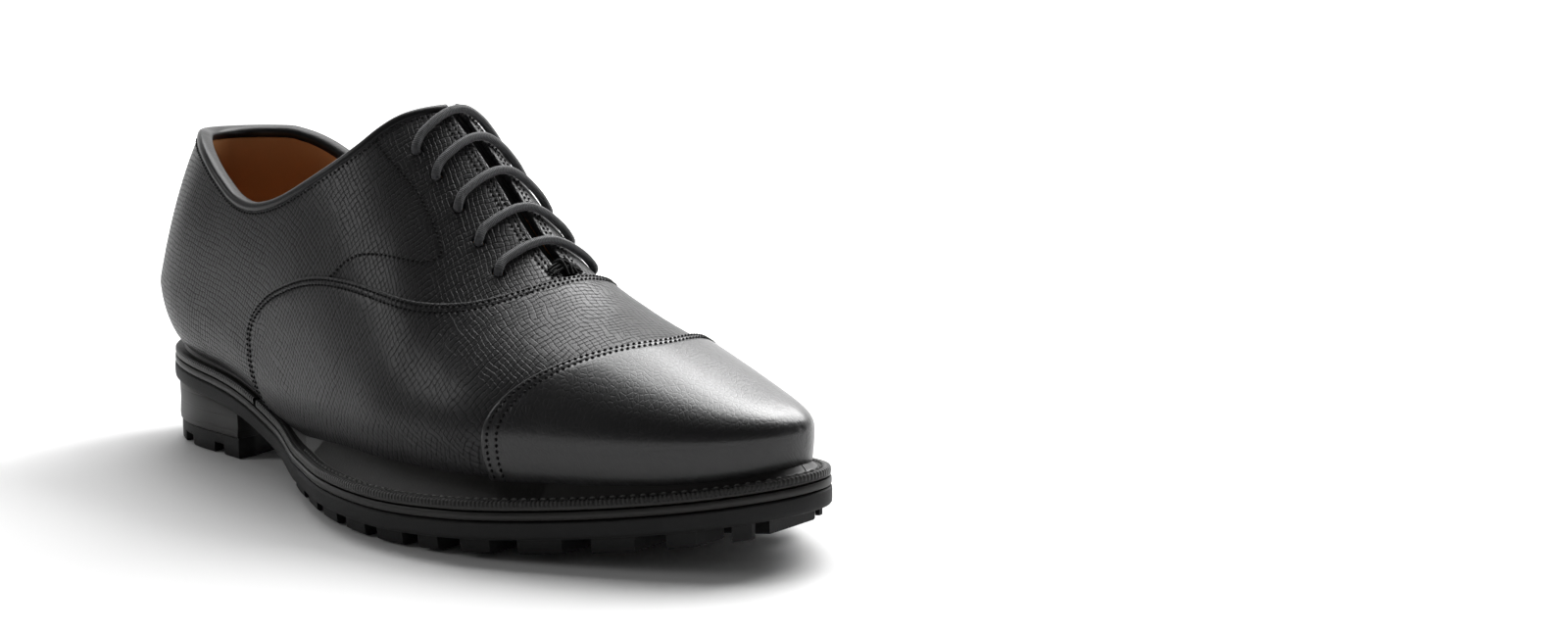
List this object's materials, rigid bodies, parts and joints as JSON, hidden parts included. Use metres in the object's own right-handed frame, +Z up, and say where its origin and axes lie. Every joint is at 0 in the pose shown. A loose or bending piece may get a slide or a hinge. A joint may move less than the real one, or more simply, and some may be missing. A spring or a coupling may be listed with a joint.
{
  "type": "leather oxford shoe",
  "caption": "Black closed-lacing cap-toe leather shoe for the right foot on a lugged rubber sole with a stacked heel, laced shut.",
  "frame": {"origin": "on the ground under the middle of the heel top piece", "axes": "+X towards the toe, +Y towards the inner side of the right foot, +Z up"},
  "size_m": [0.308, 0.1114, 0.1239],
  "materials": {
    "black_leather": "black cross-hatched grain leather, polished",
    "tan_leather": "smooth tan lining leather",
    "board": "fibre board, stiffener and canvas",
    "sole_leather": "dark stained sole leather, burnished edge",
    "rubber": "moulded black rubber",
    "cord": "round waxed cotton cord",
    "steel": "plain steel",
    "cork": "cork and resin filler"
  },
  "bodies": {
    "shoe": {"vamp_lining": "tan_leather", "lace": "cord", "vamp": "black_leather", "quarter_medial": "black_leather", "vamp_doubler": "board", "quarter_lateral": "black_leather", "outsole": "rubber", "quarter_lining_medial": "tan_leather", "toe_cap": "black_leather", "quarter_lining_lateral": "tan_leather", "toe_puff": "board", "topline_binding": "black_leather", "facing_stay_lateral": "black_leather", "heel_grip": "tan_leather", "facing_stay_medial": "black_leather", "heel_counter": "board", "cork_filler": "cork", "welt": "sole_leather", "insole_rib": "board", "heel_block": "sole_leather", "midsole": "sole_leather", "heel_top_piece": "rubber", "insole": "board", "sock_lining": "tan_leather", "heel_rand": "sole_leather", "eyelet_medial_5": "steel", "eyelet_medial_1": "steel", "eyelet_lateral_1": "steel", "eyelet_lateral_3": "steel", "eyelet_medial_3": "steel", "eyelet_lateral_5": "steel", "eyelet_medial_4": "steel", "eyelet_medial_2": "steel", "eyelet_lateral_4": "steel", "eyelet_lateral_2": "steel", "shank": "steel", "throat_bar_tack": "cord", "heel_nail_1": "steel", "heel_nail_2": "steel", "heel_nail_3": "steel", "heel_nail_4": "steel", "heel_nail_5": "steel", "aglet_lateral": "cord", "aglet_medial": "cord"},
    "tongue_body": {"tongue": "black_leather", "tongue_lining": "tan_leather"}
  },
  "joints": [
    {"name": "tongue_hinge", "type": "hinge", "parent": "shoe", "child": "tongue_body", "pos_m": [0.168, 0, 0.06], "axis": [0, -1, 0], "range_deg": [0, 15]}
  ]
}
